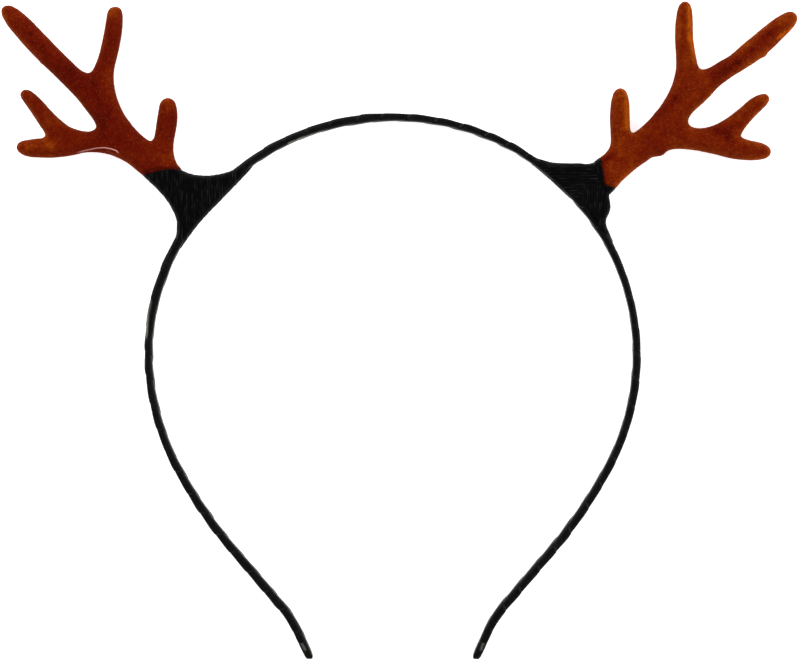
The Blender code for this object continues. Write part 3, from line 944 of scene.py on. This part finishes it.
# Outlines of the antlers, each with its root inside the wrap
LEFT_ANTLER_PX = (
    (143.9, 175.6), (136.4, 169.3), (129.5, 163.6), (119.8, 158), (110, 154.1), (100, 152),
    (92, 151.5), (85, 152), (78, 153.5), (70, 155), (60, 156.5), (50, 157.2),
    (40, 157), (30, 156.2), (22.3, 153.8), (17.9, 149.6), (17.4, 145.6), (20.2, 142.4),
    (25.2, 140.8), (35, 139.4), (42.5, 138.5), (45.8, 136), (45, 132), (40, 124.5),
    (35, 117), (30, 109.5), (25, 102.5), (21.6, 97), (21.2, 93.4), (23.2, 91),
    (26.5, 90.2), (31, 91.8), (35.5, 95.2), (41, 100.5), (49.5, 110), (55, 115.8),
    (60, 120.3), (65, 124.2), (71, 128), (79.5, 131), (88, 132), (93, 130.9),
    (96.3, 128.6), (96.9, 126), (95.2, 121.6), (90, 114), (80, 101), (70, 90),
    (60, 80), (50, 70.3), (44, 64.6), (41.6, 62.8), (39.6, 60.4), (30, 50.8),
    (20, 39.5), (10, 27.5), (5.2, 20.2), (2.4, 14.4), (2.3, 9.4), (4.2, 6.9), (7.5, 6), (12, 6.7),
    (20, 11.5), (30, 20), (40, 30.4), (50, 40.8), (60, 50.9), (70, 61),
    (79, 69.4), (84.5, 72.8), (88.8, 73.6), (92.6, 71), (95.4, 65.8), (98.2, 59),
    (100.6, 51), (103.2, 40), (105.2, 30), (107, 19), (108.2, 12), (110.4, 8.8),
    (113.2, 7.5), (117, 7.4), (120.2, 9.2), (121.9, 13.5), (122.1, 20), (121.6, 28),
    (120.6, 36.5), (118.6, 47.5), (116.2, 58), (113.6, 70), (113.1, 79), (114.2, 88.5),
    (117, 99.8), (121.2, 110), (127.2, 119.6), (135, 129.6), (142.6, 136.8), (147.8, 140.8),
    (151.4, 141.4), (154.2, 138.6), (156.1, 130), (157.6, 120), (159.2, 110), (160.7, 103.2),
    (163.3, 99.8), (167.2, 98.5), (171.4, 99.4), (174.4, 102.3), (176.2, 108), (176.9, 118),
    (175.6, 130), (173.6, 140), (172.8, 149.5), (173.8, 157.5), (176.6, 164.2), (181, 169.8),
    (184.5, 178), (180, 187), (168, 189), (156.3, 185), (149, 180),
)
RIGHT_ANTLER_PX = (
    (600.4, 157.9), (605.2, 154.4), (609.4, 149), (611.3, 142.5), (611.3, 132), (610.6, 120),
    (611, 110), (612, 100.6), (613.8, 94), (616.4, 90.2), (620, 88.9), (624.2, 90.3),
    (627, 94.5), (628.4, 102), (629, 113), (629.3, 124), (629.8, 130.2), (631.8, 133.2),
    (635, 132.6), (641, 128.4), (650, 119.8), (655, 113.8), (660, 107.6), (665.2, 99.8),
    (670.2, 90.6), (674.2, 79.8), (676.3, 69.5), (676.6, 59), (676, 49), (675.6, 38.5),
    (675.8, 28), (676.7, 18), (678.4, 9.2), (680.8, 4.2), (684, 2.1), (687.4, 2.5),
    (690, 5.2), (691.5, 11), (692, 20.5), (692.4, 35), (693.6, 47), (695.6, 58),
    (697.4, 65.6), (699.6, 69.2), (703.4, 70.2), (709.5, 68.3), (719.5, 62.3), (730, 56),
    (740, 47.8), (750, 39.4), (760, 31), (770, 23), (779.5, 16.4), (787, 12.8),
    (792.2, 12.5), (796, 15.4), (796.9, 19.2), (794, 25.2), (788, 32.2), (780, 40.2),
    (772.6, 47.4), (767.4, 52), (764.9, 55.8), (761.4, 57.4), (757.2, 60), (749.8, 64.9),
    (740.4, 70.8), (730.6, 76.9), (722.7, 82.6), (715.8, 88.8), (708.3, 97.1), (700.5, 104.7),
    (693.2, 110.9), (689.2, 116), (687.6, 120.2), (688.4, 124.2), (691.6, 127.4), (697.4, 128.8),
    (705, 128.4), (713, 126.1), (721.5, 122.2), (730, 116.8), (740, 108.8), (748, 101.8),
    (755, 97.1), (761.6, 94.6), (766.4, 94.8), (768.8, 98), (767.6, 102.4), (762, 108.6),
    (755.4, 114.8), (749.2, 121.5), (744.2, 128), (741, 133.6), (740.6, 136.6), (743.4, 138.7),
    (750, 141), (758, 142.7), (764.8, 145), (769.2, 148.2), (770.4, 152), (768, 156.4),
    (762, 158.8), (751, 159.7), (740, 159), (730, 157.5), (720, 155.1), (710, 152.6),
    (700, 150.5), (690, 149), (680, 148.3), (672, 148.9), (666.6, 150.8), (663.6, 153.6),
    (660.4, 155.3), (656, 156.1), (651, 157.4), (645.4, 161.2), (640, 165), (630, 173),
    (622, 180), (615.6, 187.3),
    (611, 190), (603, 188.5), (597.5, 180.5), (594.2, 170.5), (595, 163.5),
)
# Painted marks of the flock: from, to, width in pixels, amount. Most are patches of its own tone, but
# the strong dark ones along the mouth of the left wrap and beside the collar are painted shade, and
# the thin bright ones along the edges of the right antler's tines are painted light
LEFT_MARKS = (
    (19, 147, 26, 148, 7.0, 0.22), (24, 95, 28, 99, 6.0, 0.22), (6, 11, 12, 17, 6.5, 0.20),
    (114, 10, 116, 14, 6.0, 0.16), (166, 102, 170, 108, 6.5, 0.26), (109, 72, 110, 86, 4.0, 0.16),
    (30, 148, 52, 147, 6.5, 0.22), (44, 137, 52, 146, 4.0, 0.14), (166, 112, 168, 128, 5.0, 0.12),
    (111, 94, 122, 113, 5.0, 0.16), (94, 88, 104, 132, 9.0, -0.12), (76, 72, 92, 84, 8.0, -0.08),
    (24, 28, 44, 50, 6.0, -0.10), (110, 25, 108, 60, 5.0, -0.10), (52, 130, 66, 134, 5.0, -0.16),
    # painted shade along the mouth of the left wrap
    (146, 174, 158, 170.5, 2.8, -0.80), (158, 170.5, 180, 169.5, 2.6, -0.80),
    (84, 151.5, 104, 150.8, 2.0, -0.30), (140, 158, 166, 160, 9.0, 0.10),
)
RIGHT_MARKS = (
    (715, 77, 736, 63, 4.4, -0.26), (736, 63, 752, 50, 4.4, -0.30), (752, 50, 768, 35, 4.4, -0.24),
    # the two thin bright marks are painted highlights near the long tine's lower edge
    (768, 33, 774, 28, 4.2, -0.16), (777, 39, 780.6, 34, 0.8, 0.70), (780, 37.2, 784.4, 32, 0.8, 0.75),
    (698, 74, 706, 82, 4.5, 0.14), (724, 134, 731, 142, 4.0, -0.22),
    (612, 176, 622, 162, 7.0, -0.12), (745, 150, 762, 153, 5.0, -0.16),
    # the last mark is painted light on the long tine's lower edge
    (682, 20, 684, 60, 5.0, 0.10), (726, 64, 700, 66, 3.0, -0.12), (783, 41, 791, 28, 1.1, 0.45),
    # painted shade beside the collar
    (604, 160, 611, 156, 4.0, -0.55), (603, 166, 605, 180, 2.4, -0.35),
    # painted light on the right edges of the upright tines
    (688, 8, 689, 40, 2.6, 0.40), (690, 40, 694, 62, 2.6, 0.42), (625, 94, 626.5, 128, 2.8, 0.38),
    (661, 154, 666, 151, 3.0, -0.30), (652, 118, 676, 98, 7.0, -0.22),
    (716, 132, 742, 126, 7.0, -0.20), (684, 20, 682, 50, 3.6, -0.16),
    (763, 98, 767, 100, 4.0, 0.16), (745, 116, 760, 104, 3.0, -0.20),
)
# Crease of the left antler's flock, along which a pale highlight is painted
CREASE_PX = (
    (76, 153), (81, 151.8), (88, 150.2), (97, 148.4), (105, 148), (112, 149.2),
    (117, 151), (119.7, 153.8),
)
# Beyond this the crease's distance isn't followed, and a point further than this from all of the
# crease's points lies beyond it
CREASE_REACH = 0.001
CREASE_NEAR = 0.004
# How strongly it shows at its outer end, and how fast it fades at that end and at the other
CREASE_LEAST = 0.35
CREASE_IN = 5
CREASE_OUT = 9
CREASE_HEIGHT = 0.00012
# Height and half width of the parting line
PARTING_RISE = 0.00008
PARTING_WIDTH = 0.00028
# Lumps, large and small: height and noise scale
ANTLER_LUMPS = ((0.00008, 260), (0.00004, 1100))
# Tone: the weight and noise scale of broad patches, where their noise is read, and the painted light
# that the rim and the outer sides add
BROAD_TONE = 0.26
BROAD_SCALE = 90
BROAD_SHIFT = Vector((3.1, 0.7, 1.9))
PAINTED_RIM_LIGHT = 0.24
PAINTED_OUTER_LIGHT = 0.22


def crease_at(spot, points):
    """Signed distance from the crease, and how strongly it shows: most towards its root end."""
    best = (CREASE_REACH, 0.0, 1.0)
    near = [point for point in points if (spot - point).to_2d().length < CREASE_NEAR]
    for i, (first, second) in enumerate(zip(points, points[1:]) if near else ()):
        away, share, side = beside(spot, first, second)
        best = min(best, (away, i + share, side))
    away, place, side = best
    share = place / max(1, len(points) - 1)
    strength = CREASE_LEAST + (1 - CREASE_LEAST) * share
    strength *= min(1.0, CREASE_IN * share) * min(1.0, CREASE_OUT * (1 - share))
    return side * away, strength


def make_antler(name, node, outline, material, marks, crease, brightness):
    """Flocked antler: a soft moulding with a parting line, small lumps, patches, painted light on its
    rims, painted shade at its root and a nap.
    """
    box_low, box_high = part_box(node)
    half_depth = (box_high.z - box_low.z) / 2 - ANTLER_ROOM
    ring = resampled(outline, ANTLER_MESH[0])
    antler = puffed(name, ring, set(), half_depth, ANTLER_ROUND, ANTLER_MESH[1])
    even_out(antler, *ANTLER_MESH[2:])
    crease_points = [seen(*pixel) for pixel in crease]
    tone_light_and_shade_marks = stretches(marks)
    side = 1.0 if box_low.x > 0.0 else -1.0

    def creased(spot, normal):
        away, strength = crease_at(spot, crease_points)
        shown = normal.z > 0.0 and abs(away) < CREASE_REACH
        return away, strength if shown else 0.0

    def height(spot, normal):
        away, strength = creased(spot, normal)
        parting = math.exp(-((spot.z - MIDDLE) / PARTING_WIDTH) ** 2) * (1 - abs(normal.z))
        ridge = strength * math.exp(-(away / CREASE_RIDGE) ** 2)
        return (sum(lumps(spot, *lump) for lump in ANTLER_LUMPS)
                + PARTING_RISE * parting + CREASE_HEIGHT * ridge)

    def tone_and_painted_light(spot, normal):
        broad = noise.noise(spot * BROAD_SCALE + BROAD_SHIFT)
        # Painted light: lighter towards the rim, and more so on the antler's outer side
        rim = 1.0 - abs(normal.z)
        outer = rim * side * normal.x
        return (brightness + BROAD_TONE * broad + PAINTED_RIM_LIGHT * rim + PAINTED_OUTER_LIGHT * outer
                + painted(spot, tone_light_and_shade_marks))

    displace(antler, height)
    write_attribute(antler, "tone_and_painted_light", tone_and_painted_light)
    write_attribute(antler, "crease_side", lambda spot, normal: creased(spot, normal)[0])
    write_attribute(antler, "crease", lambda spot, normal: creased(spot, normal)[1])
    dress(antler, material, node)


# Floor, light and camera

FLOOR_SIZE = 4.0
FLOOR_DROP = 0.0002
FLOOR_COLOUR = (0.92, 0.92, 0.92, 1.0)
FLOOR_GLOW = 0.75
WORLD_GLOW = 0.20
WHITE = (1.0, 1.0, 1.0, 1.0)
# Lights: name, place and power
LIGHT_SIZE = 0.9
LIGHTS = (
    ("key", (-0.8, 1.0, 1.0), 19.0),
    ("fill", (1.1, 0.3, 0.8), 11.0),
    ("low", (0.1, -1.2, 0.7), 7.0),
)
# Lens and sensor in millimetres, and how far the camera sees in metres
LENS = 200.0
SENSOR = 36.0
FAR_END = 10.0


def make_floor():
    """Plain pale surface that the headband lies on."""
    bpy.ops.mesh.primitive_plane_add(size=FLOOR_SIZE, location=(0.0, 0.0, -FLOOR_DROP))
    floor = bpy.context.object
    floor.name = "floor"
    material = bpy.data.materials.new("pale_floor")
    _, shader = nodes_of(material)
    shader.inputs["Base Color"].default_value = FLOOR_COLOUR
    shader.inputs["Roughness"].default_value = 1.0
    shader.inputs["Specular IOR Level"].default_value = 0.0
    shader.inputs["Emission Color"].default_value = WHITE
    shader.inputs["Emission Strength"].default_value = FLOOR_GLOW
    floor.data.materials.append(material)


def make_light(name, place, power):
    """Soft square light that points at the object."""
    data = bpy.data.lights.new(name, "AREA")
    data.shape = "SQUARE"
    data.size = LIGHT_SIZE
    data.energy = power
    light = bpy.data.objects.new(name, data)
    light.location = place
    light.rotation_euler = (-Vector(place)).to_track_quat("-Z", "Y").to_euler()
    bpy.context.scene.collection.objects.link(light)


def make_world():
    """Even pale light from all sides."""
    world = bpy.data.worlds.new("studio")
    bpy.context.scene.world = world
    world.use_nodes = True
    background = world.node_tree.nodes["Background"]
    background.inputs["Color"].default_value = WHITE
    background.inputs["Strength"].default_value = WORLD_GLOW
    bpy.context.scene.view_settings.view_transform = "Standard"


def make_camera():
    """Long lens straight over the headband, framed as the photograph is."""
    data = bpy.data.cameras.new("camera")
    data.lens = LENS
    data.sensor_width = SENSOR
    data.clip_end = FAR_END
    camera = bpy.data.objects.new("camera", data)
    bpy.context.scene.collection.objects.link(camera)
    centre = at(*PHOTO_CENTRE_PX)
    distance = PHOTO_WIDTH * PIXEL * LENS / SENSOR
    camera.location = (centre.x, centre.y, MIDDLE + distance)
    bpy.context.scene.camera = camera


make_floor()
for light in LIGHTS:
    make_light(*light)
make_world()
make_camera()

# Flock of each antler: its dark, middle and light shades, and its usual tone
LEFT_SHADES = ((0.098, 0.0030, 0.0003), (0.142, 0.0080, 0.0004), (0.240, 0.0340, 0.0008))
RIGHT_SHADES = ((0.104, 0.0036, 0.0003), (0.160, 0.0120, 0.0005), (0.280, 0.0470, 0.0010))
LEFT_TONE = 0.38
RIGHT_TONE = 0.46
left_flock = flock_material("left_flock", *LEFT_SHADES)
right_flock = flock_material("right_flock", *RIGHT_SHADES)
satin = satin_material("satin_ribbon", (0.0030, 0.0030, 0.0028), rough=0.40)
folded = satin_material("folded_ribbon", (0.0036, 0.0036, 0.0033), rough=0.34)
ribbed = ribbed_material("ribbed_ribbon", dark=(0.0010, 0.0009, 0.0010), light=(0.019, 0.016, 0.018),
                         rough=0.6, gloss=0.03)

# Pale highlights painted into the ribbon's colour: from, to, width in pixels, amount. One is on each
# tip, and the band's are pale slivers where it turns an edge to the light.
LEFT_TIP_HIGHLIGHTS = ((301.6, 642.3, 305.2, 648.6, 1.3, 0.24),)
RIGHT_TIP_HIGHLIGHTS = ((483.4, 641.5, 481.0, 648.5, 1.3, 0.22),)
BAND_HIGHLIGHTS = (
    (288.6, 143.5, 295.0, 141.1, 0.50, 0.62), (296.5, 140.2, 305.0, 137.2, 0.60, 0.62),
    (306.0, 136.9, 323.0, 131.3, 0.60, 0.50), (151.2, 301.0, 149.2, 312.0, 1.1, 0.26),
    (148.4, 313.5, 147.2, 335.0, 0.9, 0.62),
)

make_band(satin)
make_tip("left_tip_fold", -1, folded, "tip_fold_left", LEFT_TIP_HIGHLIGHTS)
make_tip("right_tip_fold", 1, folded, "tip_fold_right", RIGHT_TIP_HIGHLIGHTS)
make_left_wrap(ribbed)
make_right_wrap(ribbed)
make_collar(ribbed)
make_antler("left_antler", "antler_left", LEFT_ANTLER_PX, left_flock, LEFT_MARKS, CREASE_PX,
            LEFT_TONE)
make_antler("right_antler", "antler_right", RIGHT_ANTLER_PX, right_flock, RIGHT_MARKS, (),
            RIGHT_TONE)

bpy.context.view_layer.update()
